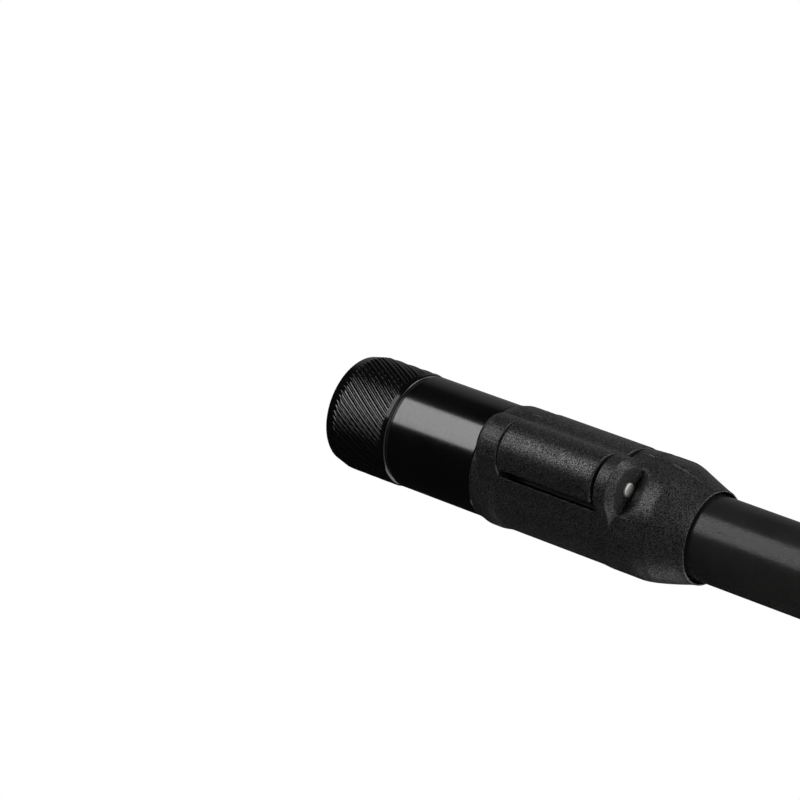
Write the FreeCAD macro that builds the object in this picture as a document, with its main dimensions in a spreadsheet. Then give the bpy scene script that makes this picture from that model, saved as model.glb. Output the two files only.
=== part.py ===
import FreeCAD, Part
import math
import os
import re
import Sketcher
from FreeCAD import Placement, Rotation, Vector

# Head end of a telescoping camera pole, standing upright under a camera.
# Z is up along the pole. The origin is the centre of the seat that the camera rests on, so the pole hangs
# below it and every height but the stud's is negative. Each flip lock has its hinge pin on the -Y side, and
# its paddle wraps towards +X.
# All sizes are millimetres and degrees.

HEAD = {
    "stud_radius": 3.175,
    "stud_top": 6.0,
    "stud_relief_radius": 2.6,
    "stud_relief_bottom": -3.0,
    "stud_shank_radius": 4.5,
    "stud_bottom": -15.0,
    "stud_point": 0.6,
    "thread_bottom": -0.4,
    "seat_hole_radius": 4.2,
    "seat_radius": 10.4,
    "seat_thickness": 1.5,
    "seat_proud": 0.3,
    "seat_edge": 0.2,
    "boss_radius": 9.0,
    "boss_top": -2.0,
    "boss_chamfer": 0.5,
    "plug_mouth_gap": 0.3,
    "ring_bore_radius": 9.06,
    "ring_top_radius": 11.65,
    "ring_radius": 12.5,
    "ring_edge": -2.9,
    "ring_edge_radius": 12.3,
    "ring_shoulder": -4.3,
    "ring_rim": -15.6,
    "ring_bottom": -16.9,
    "ring_rim_step": 0.25,
    "collar_radius": 11.9,
    "head_tube_radius": 12.25,
    "head_tube_bore_radius": 11.0,
    "head_tube_top": -17.5,
    "plug_bottom": -24.5,
    "plug_screw_height": -21.0,
    "plug_screw_inner": 7.5,
    "housing_screw_height": -33.0,
    "screw_radius": 1.5,
    "screw_socket_radius": 0.85,
    "screw_socket_depth": 1.2,
    "screw_sink": 0.15,
    "screw_root_gap": 0.5,
}

POLE = {
    "pole_radius": 9.0,
    "pole_bore_radius": 8.0,
    "pole_top": -28.0,
    "pole_bottom": -300.0,
    "cap_rim_radius": 8.9,
    "cap_rim_thickness": 1.5,
    "cap_depth": 8.0,
    "cap_wall": 1.6,
    "leg_radius": 7.0,
    "leg_bore_radius": 6.0,
    "leg_top": -100.0,
    "leg_bottom": -366.0,
    "leg_bush_bottom": -112.0,
    "leg_bush_lip": 1.5,
    "leg_bush_overlap": 0.5,
    "foot_plug_top": -352.0,
    "foot_flange_thickness": 2.0,
    "foot_flange_overhang": 0.4,
    "foot_shank_radius": 4.0,
    "foot_shank_bottom": -380.0,
    "foot_neck_radius": 8.4,
    "foot_waist": -371.0,
    "foot_waist_radius": 8.0,
    "foot_waist_drop": 0.8,
    "foot_base_radius": 11.0,
    "foot_base_top": -384.0,
    "foot_bottom": -389.0,
    "foot_chamfer": 1.2,
    "tube_chamfer": 0.25,
    "slide_gap": 0.06,
    "glue_gap": 0.02,
    "bore_gap": 0.1,
    "bush_lead": 0.3,
}

# One flip lock. Depths are measured down from the top of the lock's rim.
UPPER_LOCK = {
    "top": -39.8,
    "spigot_radius": 10.98,
    "spigot_length": 13.8,
    "rim_radius": 12.45,
    "rim_depth": 1.1,
    "shoulder_radius": 12.95,
    "shoulder_depth": 2.2,
    "shoulder_end": 5.3,
    "waist_radius": 12.5,
    "waist_depth": 7.3,
    "waist_end": 31.25,
    "hip_radius": 12.75,
    "hip_depth": 33.3,
    "hip_end": 41.2,
    "taper_radius": 11.75,
    "taper_depth": 46.6,
    "lip_radius": 10.0,
    "lip_depth": 52.3,
    "mouth_radius": 9.65,
    "mouth_depth": 52.9,
    "bush_depth": 41.5,
    "bush_end": 49.6,
    "knuckle_depth": 2.8,
    "knuckle_end": 37.8,
    "knuckle_chamfer": 1.5,
    "scoop_radius": 4.85,
    "scoop_floor": 10.6,
    "scoop_length": 4.4,
    "pocket_depth": 8.6,
    "pocket_end": 33.4,
    "lever_depth": 8.8,
    "lever_end": 32.6,
    "pin_offset": 12.15,
    "barrel_radius": 6.35,
    "floor_radius": 10.9,
    "paddle_radius": 13.1,
    "paddle_underside": 11.1,
}
LOWER_LOCK = {
    "top": -300.0,
    "spigot_radius": 7.98,
    "spigot_length": 12.0,
    "rim_radius": 9.2,
    "rim_depth": 1.0,
    "shoulder_radius": 10.6,
    "shoulder_depth": 2.4,
    "shoulder_end": 4.5,
    "waist_radius": 10.2,
    "waist_depth": 6.1,
    "waist_end": 26.3,
    "hip_radius": 10.45,
    "hip_depth": 28.0,
    "hip_end": 34.5,
    "taper_radius": 9.6,
    "taper_depth": 39.0,
    "lip_radius": 8.0,
    "lip_depth": 44.0,
    "mouth_radius": 7.65,
    "mouth_depth": 44.5,
    "bush_depth": 35.0,
    "bush_end": 41.6,
    "knuckle_depth": 2.9,
    "knuckle_end": 31.8,
    "knuckle_chamfer": 1.2,
    "scoop_radius": 4.1,
    "scoop_floor": 8.6,
    "scoop_length": 3.7,
    "pocket_depth": 7.2,
    "pocket_end": 28.0,
    "lever_depth": 7.4,
    "lever_end": 27.4,
    "pin_offset": 10.15,
    "barrel_radius": 5.3,
    "floor_radius": 8.7,
    "paddle_radius": 10.7,
    "paddle_underside": 8.9,
}

# What both flip locks share.
HINGE = {
    "cavity_gap": 0.25,
    "pin_radius": 1.55,
    "hub_radius": 2.15,
    "lobe_radius": 1.82,
    "lobe_offset": 0.45,
    "shoe_thickness": 0.79,
    "shoe_half_angle": 31.0,
    "shoe_end_gap": 0.2,
    "pin_cap": 1.5,
    "pin_end_gap": 0.1,
    "front_fillet": 4.0,
    "back_fillet": 20.0,
    "paddle_tip_angle": 72.0,
    "paddle_root_angle": 62.0,
    "tip_bead_radius": 1.35,
    "tip_bead_lift": 0.25,
    "web_across": 0.9,
    "web_up": 1.95,
    "heel_across": 1.6,
    "heel_up": 0.6,
    "hook_across": 0.41,
    "hook_down": 0.19,
    "lip_across": 0.82,
    "lip_down": 0.24,
    "surround_start": -44.0,
    "surround_end": 100.0,
    "surround_depth_over": 2.0,
    "surround_foot_sink": 0.35,
    "pocket_start": -70.0,
    "pocket_end_angle": 87.0,
}

DIMENSIONS = {
    **HEAD,
    **POLE,
    **HINGE,
    **{"upper_" + name: size for name, size in UPPER_LOCK.items()},
    **{"lower_" + name: size for name, size in LOWER_LOCK.items()},
}

PLUG_SCREW_ANGLES = (30, 120)
HOUSING_SCREW_ANGLES = (10, 90, 130)
BACK_LIP_ANGLE = -158  # where the barrel's back edge is, round the pin from the +X side
FAR = 20  # reaches past everything when it is used as a cutting tool's size

doc = FreeCAD.newDocument("camera_pole")
sheet = doc.addObject("Spreadsheet::Sheet", "Sizes")
for row, (alias, size) in enumerate(DIMENSIONS.items(), 1):
    sheet.set(f"A{row}", alias)
    sheet.set(f"B{row}", str(size))
    sheet.setAlias(f"B{row}", alias)
doc.recompute()

nodes = []


def bound(text):
    """An expression in which each dimension's name reads its cell in the sheet."""
    def cell(word):
        return "Sizes." + word[0] if word[0] in DIMENSIONS else word[0]

    return re.sub(r"[a-z_]+", cell, str(text))


def bind(item, sizes):
    for size, text in sizes.items():
        item.setExpression(size, bound(text))


def node(item, label):
    """Marks a finished piece, which becomes one file."""
    item.Label = label
    nodes.append(item)
    return item


def cylinder(name, radius, bottom, top, back=0, sector=360, start=0):
    """An upright cylinder, or a sector of one. back is how far its axis is from the pole's, towards -Y."""
    solid = doc.addObject("Part::Cylinder", name)
    bind(solid, {
        "Radius": radius,
        "Height": f"({top}) - ({bottom})",
        "Angle": sector,
        "Placement.Base.y": f"-({back})",
        "Placement.Base.z": bottom,
        "Placement.Rotation.Angle": start,
    })
    return solid


def cut(name, base, *tools):
    result = doc.addObject("Part::Cut", name)
    result.Base = base
    result.Tool = fuse(name + "_tools", *tools)
    return result


def fuse(name, *parts):
    if len(parts) == 1:
        return parts[0]
    result = doc.addObject("Part::MultiFuse", name)
    result.Shapes = list(parts)
    return result


def revolved(name, section):
    """A body turned about Z. section is the half section's corners, each a radius and a height."""
    body = doc.addObject("PartDesign::Body", name)
    sketch = body.newObject("Sketcher::SketchObject", name + "_section")
    plane = next(f for f in body.Origin.OriginFeatures if f.Role == "XZ_Plane")
    sketch.AttachmentSupport = [(plane, "")]
    sketch.MapMode = "FlatFace"
    count = len(section)
    starts = [Vector(1 + i, -1 - i * i, 0) for i in range(count)]
    sketch.addGeometry([Part.LineSegment(starts[i], starts[(i + 1) % count]) for i in range(count)])
    for i, (radius, height) in enumerate(section):
        sketch.addConstraint(Sketcher.Constraint("Coincident", i, 2, (i + 1) % count, 1))
        if radius == 0:
            sketch.addConstraint(Sketcher.Constraint("PointOnObject", i, 1, -2))
        else:
            place(sketch, i, 1, "DistanceX", radius)
        place(sketch, i, 1, "DistanceY", height)
    turn = body.newObject("PartDesign::Revolution", name + "_turned")
    turn.Profile = sketch
    turn.ReferenceAxis = (sketch, ["V_Axis"])
    turn.Angle = 360
    body.Tip = turn
    return body


def place(sketch, line, end, kind, text):
    """Fixes one end of a line or arc at a distance from the sketch's origin."""
    number = sketch.addConstraint(Sketcher.Constraint(kind, -1, 1, line, end, 1.0))
    sketch.setExpression(f"Constraints[{number}]", bound(text))


def size_arc(sketch, arc, text):
    number = sketch.addConstraint(Sketcher.Constraint("Radius", arc, 5.0))
    sketch.setExpression(f"Constraints[{number}]", bound(text))


def towards(angle):
    """The unit vector at an angle from +X."""
    return Vector(math.cos(math.radians(angle)), math.sin(math.radians(angle)), 0)


def arc(centre, radius, start, end):
    """A counter-clockwise arc from one direction to another, each a vector from the centre."""
    angles = [math.atan2(way.y, way.x) for way in (start, end)]
    if angles[1] < angles[0]:
        angles[1] += 2 * math.pi
    return Part.ArcOfCircle(Part.Circle(centre, Vector(0, 0, 1), radius), *angles)


def ring_sector(name, outer, inner, bottom, top, start, sweep):
    """Part of a round wall."""
    whole = cylinder(name + "_outer", outer, bottom, top, sector=sweep, start=start)
    core = cylinder(name + "_core", inner, f"({bottom}) - 1", f"({top}) + 1")
    return cut(name, whole, core)


def radial_screws(name, height, inner, outer, angles):
    """Set screws that point at the axis, each with a hexagon socket, and the holes that they go in."""
    screws, holes = [], []
    for number, angle in enumerate(angles, 1):
        turn = Rotation(Vector(0, 0, 1), angle) * Rotation(Vector(0, 1, 0), 90)
        way = towards(angle)
        shank = doc.addObject("Part::Cylinder", f"{name}_shank_{number}")
        hole = doc.addObject("Part::Cylinder", f"{name}_hole_{number}")
        socket = doc.addObject("Part::Prism", f"{name}_socket_{number}")
        bind(shank, {"Radius": "screw_radius", "Height": f"({outer}) - ({inner})"})
        bind(hole, {"Radius": "screw_radius + glue_gap", "Height": f"({outer}) - ({inner}) + 2"})
        bind(socket, {"Circumradius": "screw_socket_radius", "Height": "screw_socket_depth + 1"})
        for item, start in ((shank, inner), (hole, inner), (socket, f"({outer}) - screw_socket_depth")):
            item.Placement = Placement(Vector(), turn)
            bind(item, {
                "Placement.Base.x": f"({start}) * {way.x}",
                "Placement.Base.y": f"({start}) * {way.y}",
                "Placement.Base.z": height,
            })
        screws.append(cut(f"{name}_screw_{number}", shank, socket))
        holes.append(hole)
    group = doc.addObject("Part::Compound", name)
    group.Links = screws
    return group, fuse(name + "_holes", *holes)


def tube(name, radius, bore, top, bottom):
    """A round tube with its outer edges broken."""
    return revolved(name, [
        (bore, top),
        (f"{radius} - tube_chamfer", top),
        (radius, f"{top} - tube_chamfer"),
        (radius, f"{bottom} + tube_chamfer"),
        (f"{radius} - tube_chamfer", bottom),
        (bore, bottom),
    ])


def blend(lock, side, fillet, round_radius):
    """Centre of the concave arc that runs tangent from a lock's barrel to a round about the pole's axis."""
    near = lock["barrel_radius"] + fillet
    far = round_radius + fillet
    offset = lock["pin_offset"]
    reach = (far * far - near * near + offset * offset) / (2 * offset)
    return Vector(side * math.sqrt(far * far - reach * reach), -reach, 0)


def hinge_block(name, lock):
    """The knuckles' solid: the barrel round the pin, blended on both sides into the round waist."""
    size = {key: DIMENSIONS[f"{lock}_{key}"] for key in UPPER_LOCK}
    axis, pin = Vector(), Vector(0, -size["pin_offset"], 0)
    front = blend(size, 1, HINGE["front_fillet"], size["waist_radius"])
    back = blend(size, -1, HINGE["back_fillet"], size["waist_radius"])
    sketch = doc.addObject("Sketcher::SketchObject", name + "_outline")
    barrel, front_arc, waist, back_arc = sketch.addGeometry([
        arc(pin, size["barrel_radius"], back - pin, front - pin),
        arc(front, HINGE["front_fillet"], axis - front, pin - front),
        arc(axis, size["waist_radius"], front - axis, back - axis),
        arc(back, HINGE["back_fillet"], pin - back, axis - back),
    ])
    sketch.addConstraint([
        Sketcher.Constraint("Coincident", waist, 3, -1, 1),
        Sketcher.Constraint("PointOnObject", barrel, 3, -2),
        Sketcher.Constraint("Tangent", barrel, 2, front_arc, 2),
        Sketcher.Constraint("Tangent", front_arc, 1, waist, 1),
        Sketcher.Constraint("Tangent", waist, 2, back_arc, 2),
        Sketcher.Constraint("Tangent", back_arc, 1, barrel, 1),
    ])
    place(sketch, barrel, 3, "DistanceY", f"-{lock}_pin_offset")
    size_arc(sketch, barrel, f"{lock}_barrel_radius")
    size_arc(sketch, front_arc, "front_fillet")
    size_arc(sketch, waist, f"{lock}_waist_radius")
    size_arc(sketch, back_arc, "back_fillet")
    bind(sketch, {"Placement.Base.z": f"{lock}_top - {lock}_knuckle_end"})
    block = extruded(name + "_plain", sketch, f"{lock}_knuckle_end - {lock}_knuckle_depth")
    doc.recompute()
    eased = doc.addObject("Part::Chamfer", name)
    eased.Base = block
    foot = size["top"] - size["knuckle_end"]
    ease = size["knuckle_chamfer"]
    head_ease = ease / 2
    eased.Edges = [
        (number, ease, ease) if edge.BoundBox.ZMax < foot + 0.01 else (number, head_ease, head_ease)
        for number, edge in enumerate(block.Shape.Edges, 1)
        if edge.BoundBox.ZLength < 0.01
    ]
    return eased


def extruded(name, sketch, length):
    solid = doc.addObject("Part::Extrusion", name)
    solid.Base = sketch
    solid.DirMode = "Custom"
    solid.Dir = Vector(0, 0, 1)
    solid.Solid = True
    bind(solid, {"LengthFwd": length})
    return solid


def lock_housing(label, lock, screw_holes=None):
    """The lock's moulded body: spigot, rim, shoulder, waist, hip and nose, with the hinge's knuckles."""
    def level(depth):
        return f"{lock}_top - {lock}_{depth}"

    round_body = revolved(label + "_round", [
        (0, f"{lock}_top + {lock}_spigot_length"),
        (f"{lock}_spigot_radius", f"{lock}_top + {lock}_spigot_length"),
        (f"{lock}_spigot_radius", f"{lock}_top"),
        (f"{lock}_rim_radius", f"{lock}_top"),
        (f"{lock}_rim_radius", level("rim_depth")),
        (f"{lock}_shoulder_radius", level("shoulder_depth")),
        (f"{lock}_shoulder_radius", level("shoulder_end")),
        (f"{lock}_waist_radius", level("waist_depth")),
        (f"{lock}_waist_radius", level("waist_end")),
        (f"{lock}_hip_radius", level("hip_depth")),
        (f"{lock}_hip_radius", level("hip_end")),
        (f"{lock}_taper_radius", level("taper_depth")),
        (f"{lock}_lip_radius", level("lip_depth")),
        (f"{lock}_mouth_radius", level("mouth_depth")),
        (0, level("mouth_depth")),
    ])
    sweep = "surround_end - surround_start"
    surround_foot = f"{level('hip_end')} - surround_depth_over"
    surround = cylinder(
        label + "_surround", f"{lock}_shoulder_radius", surround_foot, level("shoulder_end"),
        sector=sweep, start="surround_start",
    )
    slope = doc.addObject("Part::Cone", label + "_surround_slope")
    bind(slope, {
        "Radius1": f"{lock}_taper_radius - surround_foot_sink",
        "Radius2": f"{lock}_shoulder_radius",
        "Height": f"{surround_foot} - ({level('taper_depth')} - surround_depth_over)",
        "Angle": sweep,
        "Placement.Base.z": f"{level('taper_depth')} - surround_depth_over",
        "Placement.Rotation.Angle": "surround_start",
    })
    outside = fuse(label + "_outside", round_body, surround, slope, hinge_block(label + "_hinge", lock))

    sliding = "pole_radius" if lock == "upper" else "leg_radius"
    bore = cylinder(
        label + "_bore", f"{sliding} + bore_gap", f"{lock}_top - {lock}_mouth_depth - 1",
        f"{lock}_top + {lock}_spigot_length + 1",
    )
    mouth = cylinder(
        label + "_mouth", f"{lock}_mouth_radius", f"{level('mouth_depth')} - 1", level("bush_depth")
    )
    cavity = cylinder(
        label + "_cavity", f"{lock}_barrel_radius + cavity_gap", level("pocket_end"), level("pocket_depth"),
        back=f"{lock}_pin_offset",
    )
    pocket = ring_sector(
        label + "_pocket", FAR, f"{lock}_floor_radius", level("pocket_end"), level("pocket_depth"),
        "pocket_start", "pocket_end_angle - pocket_start",
    )
    pin_hole = cylinder(
        label + "_pin_hole", "pin_radius + glue_gap", f"{level('knuckle_end')} - 1",
        f"{level('knuckle_depth')} - pin_cap", back=f"{lock}_pin_offset",
    )
    tools = [bore, mouth, cavity, pocket, pin_hole, pin_scoop(label + "_scoop", lock)]
    if screw_holes:
        tools.append(screw_holes)
    return node(cut(label, outside, *tools), label)


def pin_scoop(name, lock):
    """The hollow in front of the knuckles' open end, through which the pin is pushed in."""
    foot = f"{lock}_top - {lock}_knuckle_end"
    round_tool = cylinder(
        name + "_round", f"{lock}_scoop_radius", f"{foot} - {lock}_scoop_length", foot,
        back=f"{lock}_pin_offset",
    )
    ramp = doc.addObject("Part::Cone", name + "_ramp")
    bind(ramp, {
        "Radius1": f"{lock}_shoulder_radius",
        "Radius2": f"{lock}_scoop_floor",
        "Height": f"{lock}_scoop_length",
        "Placement.Base.z": f"{foot} - {lock}_scoop_length",
    })
    return cut(name, round_tool, ramp)


def lever_outline(name, lock):
    """The lever's cross-section: the barrel's outer arc, a concave blend, and the paddle round the pole."""
    size = {key: DIMENSIONS[f"{lock}_{key}"] for key in UPPER_LOCK}
    axis, pin = Vector(), Vector(0, -size["pin_offset"], 0)
    barrel_radius, paddle, under = size["barrel_radius"], size["paddle_radius"], size["paddle_underside"]
    front = blend(size, 1, HINGE["front_fillet"], paddle)
    tip = towards(HINGE["paddle_tip_angle"])
    root = towards(-HINGE["paddle_root_angle"])
    lip = towards(BACK_LIP_ANGLE)
    # The underside runs from the paddle's root past the hub and out to the barrel's back lip. Each corner is
    # named, with the side of the pin that it is on, whether it is above the pin, and the size that scales it.
    across = f"{lock}_barrel_radius"
    underside, guesses = [], []
    for corner, side, rise, unit in (("web", 1, "up", 1), ("heel", -1, "up", 1), ("hook", -1, "down", across),
                                     ("lip", -1, "down", across)):
        sign = 1 if rise == "up" else -1
        underside.append((
            f"{side} * {corner}_across * {unit}",
            f"-{lock}_pin_offset + {sign} * {corner}_{rise} * {unit}",
        ))
        scale = barrel_radius if unit == across else 1
        offset = Vector(side * HINGE[corner + "_across"], sign * HINGE[f"{corner}_{rise}"], 0)
        guesses.append(pin + offset * scale)
    path = [root * under, *guesses, pin + lip * barrel_radius]
    sketch = doc.addObject("Sketcher::SketchObject", name)
    barrel, front_arc, outer, inner, end = sketch.addGeometry([
        arc(pin, barrel_radius, lip, front - pin),
        arc(front, HINGE["front_fillet"], axis - front, pin - front),
        arc(axis, paddle, front - axis, tip),
        arc(axis, under, root, tip),
        Part.LineSegment(tip * paddle, tip * under),
    ])
    lines = sketch.addGeometry([Part.LineSegment(*ends) for ends in zip(path, path[1:])])
    sketch.addConstraint([
        Sketcher.Constraint("Coincident", outer, 3, -1, 1),
        Sketcher.Constraint("Coincident", inner, 3, -1, 1),
        Sketcher.Constraint("PointOnObject", barrel, 3, -2),
        Sketcher.Constraint("Tangent", barrel, 2, front_arc, 2),
        Sketcher.Constraint("Tangent", front_arc, 1, outer, 1),
        Sketcher.Constraint("Coincident", outer, 2, end, 1),
        Sketcher.Constraint("Coincident", end, 2, inner, 2),
        Sketcher.Constraint("Coincident", inner, 1, lines[0], 1),
        *[Sketcher.Constraint("Coincident", one, 2, next_one, 1) for one, next_one in zip(lines, lines[1:])],
        Sketcher.Constraint("Coincident", lines[-1], 2, barrel, 1),
    ])
    place(sketch, barrel, 3, "DistanceY", f"-{lock}_pin_offset")
    place(sketch, barrel, 1, "DistanceX", f"{across} * cos({BACK_LIP_ANGLE} deg)")
    place(sketch, end, 1, "DistanceX", f"{lock}_paddle_radius * cos(paddle_tip_angle * 1deg)")
    place(sketch, end, 2, "DistanceX", f"{lock}_paddle_underside * cos(paddle_tip_angle * 1deg)")
    place(sketch, inner, 1, "DistanceX", f"{lock}_paddle_underside * cos(paddle_root_angle * 1deg)")
    for line, (across_text, along_text) in zip(lines, underside):
        place(sketch, line, 2, "DistanceX", across_text)
        place(sketch, line, 2, "DistanceY", along_text)
    size_arc(sketch, barrel, across)
    size_arc(sketch, front_arc, "front_fillet")
    size_arc(sketch, outer, f"{lock}_paddle_radius")
    size_arc(sketch, inner, f"{lock}_paddle_underside")
    bind(sketch, {"Placement.Base.z": f"{lock}_top - {lock}_lever_end"})
    return sketch


def lock_lever(label, lock):
    """The flip lever: barrel and paddle, the hub with its cam lobe, and a bead to lift the paddle by."""
    bottom = f"{lock}_top - {lock}_lever_end"
    top = f"{lock}_top - {lock}_lever_depth"
    outline = lever_outline(label + "_outline", lock)
    plate = extruded(label + "_plate", outline, f"{lock}_lever_end - {lock}_lever_depth")
    hub = cylinder(label + "_hub", "hub_radius", bottom, top, back=f"{lock}_pin_offset")
    lobe = cylinder(label + "_lobe", "lobe_radius", bottom, top, back=f"{lock}_pin_offset - lobe_offset")
    bead = cylinder(label + "_bead", "tip_bead_radius", bottom, top)
    middle = f"({lock}_paddle_radius + {lock}_paddle_underside) / 2 + tip_bead_lift"
    bind(bead, {
        "Placement.Base.x": f"({middle}) * cos(paddle_tip_angle * 1deg)",
        "Placement.Base.y": f"({middle}) * sin(paddle_tip_angle * 1deg)",
    })
    hole = cylinder(
        label + "_hole", "pin_radius + slide_gap", f"{bottom} - 1", f"{top} + 1", back=f"{lock}_pin_offset"
    )
    return node(cut(label, fuse(label + "_solid", plate, hub, lobe, bead), hole), label)


def lock_pin(label, lock):
    return node(cylinder(
        label, "pin_radius", f"{lock}_top - {lock}_knuckle_end",
        f"{lock}_top - {lock}_knuckle_depth - pin_cap - pin_end_gap", back=f"{lock}_pin_offset",
    ), label)


def brake_shoe(label, lock, sliding):
    """A thin curved shoe in the window between the cam and the sliding tube."""
    shoe = ring_sector(
        label, f"{sliding} + slide_gap + shoe_thickness", f"{sliding} + slide_gap",
        f"{lock}_top - {lock}_pocket_end + shoe_end_gap", f"{lock}_top - {lock}_pocket_depth - shoe_end_gap",
        "-90 - shoe_half_angle", "2 * shoe_half_angle",
    )
    return node(shoe, label)


def nose_bush(label, lock, sliding):
    """A plain guide bush inside the lock's mouth."""
    return node(revolved(label, [
        (f"{sliding} + slide_gap", f"{lock}_top - {lock}_bush_depth - glue_gap"),
        (f"{lock}_mouth_radius - glue_gap", f"{lock}_top - {lock}_bush_depth - glue_gap"),
        (f"{lock}_mouth_radius - glue_gap", f"{lock}_top - {lock}_bush_end"),
        (f"{sliding} + slide_gap + bush_lead", f"{lock}_top - {lock}_bush_end"),
        (f"{sliding} + slide_gap", f"{lock}_top - {lock}_bush_end + bush_lead"),
    ]), label)


# The head: stud, plug, seat pad, knurled ring and the short upper tube.
plug_screws, plug_holes = radial_screws(
    "plug_set_screws", "plug_screw_height", "plug_screw_inner", "head_tube_radius - screw_sink",
    PLUG_SCREW_ANGLES,
)
housing_screws, housing_holes = radial_screws(
    "housing_set_screws", "housing_screw_height", "pole_radius + screw_root_gap",
    "head_tube_radius - screw_sink", HOUSING_SCREW_ANGLES,
)
lower_screws, lower_holes = radial_screws(
    "lower_set_screws", "lower_top + lower_spigot_length / 2", "leg_radius + screw_root_gap",
    "pole_radius - screw_sink", HOUSING_SCREW_ANGLES,
)
node(plug_screws, "plug_set_screws")
node(housing_screws, "housing_set_screws")
node(lower_screws, "lower_set_screws")

node(revolved("camera_stud", [
    (0, "stud_bottom"),
    ("stud_shank_radius", "stud_bottom"),
    ("stud_shank_radius", "stud_relief_bottom"),
    ("stud_relief_radius", "stud_relief_bottom"),
    ("stud_relief_radius", "thread_bottom"),
    ("stud_radius", "thread_bottom"),
    ("stud_radius", "stud_top - stud_point"),
    ("stud_radius - stud_point", "stud_top"),
    (0, "stud_top"),
]), "camera_stud")

plug_body = revolved("plug_body", [
    (0, "plug_bottom"),
    ("head_tube_bore_radius - glue_gap", "plug_bottom"),
    ("head_tube_bore_radius - glue_gap", "head_tube_top"),
    ("collar_radius", "head_tube_top"),
    ("collar_radius", "ring_bottom - glue_gap"),
    ("boss_radius", "ring_bottom - glue_gap"),
    ("boss_radius", "boss_top - boss_chamfer"),
    ("boss_radius - boss_chamfer", "boss_top"),
    ("stud_relief_radius + plug_mouth_gap", "boss_top"),
    ("stud_relief_radius + plug_mouth_gap", "stud_relief_bottom + glue_gap"),
    ("stud_shank_radius + glue_gap", "stud_relief_bottom + glue_gap"),
    ("stud_shank_radius + glue_gap", "stud_bottom - glue_gap"),
    (0, "stud_bottom - glue_gap"),
])
node(cut("head_plug", plug_body, plug_holes), "head_plug")

node(revolved("seat_pad", [
    ("seat_hole_radius", "-seat_thickness"),
    ("seat_radius", "-seat_thickness"),
    ("seat_radius", "-seat_edge"),
    ("seat_radius - seat_edge", 0),
    ("seat_hole_radius", 0),
]), "seat_pad")

node(revolved("lock_ring", [
    ("ring_bore_radius", "ring_bottom"),
    ("ring_radius - ring_rim_step", "ring_bottom"),
    ("ring_radius", "ring_rim"),
    ("ring_radius", "ring_shoulder"),
    ("ring_edge_radius", "ring_edge"),
    ("ring_top_radius", "-seat_proud"),
    ("seat_radius + slide_gap", "-seat_proud"),
    ("seat_radius + slide_gap", "-seat_thickness - glue_gap"),
    ("ring_bore_radius", "-seat_thickness - glue_gap"),
]), "lock_ring")

head_tube = tube(
    "upper_tube_plain", "head_tube_radius", "head_tube_bore_radius", "head_tube_top", "upper_top"
)
node(cut("upper_tube", head_tube, plug_holes, housing_holes), "upper_tube")

# The flip lock under the upper tube.
lock_housing("lock_housing", "upper", housing_holes)
lock_lever("lock_lever", "upper")
lock_pin("lever_pin", "upper")
brake_shoe("brake_shoe", "upper", "pole_radius")
nose_bush("nose_bush", "upper", "pole_radius")

# The pole tube, its top cap and its own smaller flip lock.
pole = tube("pole_tube_plain", "pole_radius", "pole_bore_radius", "pole_top", "pole_bottom")
node(cut("pole_tube", pole, lower_holes), "pole_tube")
node(revolved("pole_cap", [
    ("cap_rim_radius - 2 * cap_wall", "pole_top - cap_depth"),
    ("pole_bore_radius - glue_gap", "pole_top - cap_depth"),
    ("pole_bore_radius - glue_gap", "pole_top"),
    ("cap_rim_radius", "pole_top"),
    ("cap_rim_radius", "pole_top + cap_rim_thickness"),
    (0, "pole_top + cap_rim_thickness"),
    (0, "pole_top - cap_wall"),
    ("cap_rim_radius - 2 * cap_wall", "pole_top - cap_wall"),
]), "pole_cap")
lock_housing("lower_lock_housing", "lower", lower_holes)
lock_lever("lower_lock_lever", "lower")
lock_pin("lower_lever_pin", "lower")
brake_shoe("lower_brake_shoe", "lower", "leg_radius")
nose_bush("lower_nose_bush", "lower", "leg_radius")

# The leg: its guide bush inside the pole, the foot's plug and the rubber foot.
node(tube("leg_tube", "leg_radius", "leg_bore_radius", "leg_top", "leg_bottom"), "leg_tube")
node(revolved("leg_bush", [
    ("leg_radius + glue_gap", "leg_bush_bottom"),
    ("pole_bore_radius - slide_gap", "leg_bush_bottom"),
    ("pole_bore_radius - slide_gap", "leg_top + leg_bush_lip"),
    ("leg_bore_radius - leg_bush_overlap", "leg_top + leg_bush_lip"),
    ("leg_bore_radius - leg_bush_overlap", "leg_top + glue_gap"),
    ("leg_radius + glue_gap", "leg_top + glue_gap"),
]), "leg_bush")
node(revolved("foot_plug", [
    (0, "foot_plug_top"),
    ("leg_bore_radius - glue_gap", "foot_plug_top"),
    ("leg_bore_radius - glue_gap", "leg_bottom - glue_gap"),
    ("leg_radius + foot_flange_overhang", "leg_bottom - glue_gap"),
    ("leg_radius + foot_flange_overhang", "leg_bottom - foot_flange_thickness"),
    ("foot_shank_radius", "leg_bottom - foot_flange_thickness"),
    ("foot_shank_radius", "foot_shank_bottom"),
    (0, "foot_shank_bottom"),
]), "foot_plug")
node(revolved("rubber_foot", [
    ("foot_shank_radius + glue_gap", "leg_bottom - foot_flange_thickness - glue_gap"),
    ("foot_neck_radius", "leg_bottom - foot_flange_thickness - glue_gap"),
    ("foot_neck_radius", "foot_waist"),
    ("foot_waist_radius", "foot_waist - foot_waist_drop"),
    ("foot_base_radius", "foot_base_top"),
    ("foot_base_radius", "foot_bottom + foot_chamfer"),
    ("foot_base_radius - foot_chamfer", "foot_bottom"),
    (0, "foot_bottom"),
    (0, "foot_shank_bottom - glue_gap"),
    ("foot_shank_radius + glue_gap", "foot_shank_bottom - glue_gap"),
]), "rubber_foot")

doc.recompute()
for item in doc.Objects:
    if "Invalid" in item.State or "Error" in item.State:
        raise RuntimeError(f"{item.Label} did not build: {item.State}")
for item in nodes:
    if item.Shape.isNull() or not item.Shape.isValid():
        raise RuntimeError(f"{item.Label} has no valid shape")

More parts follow.
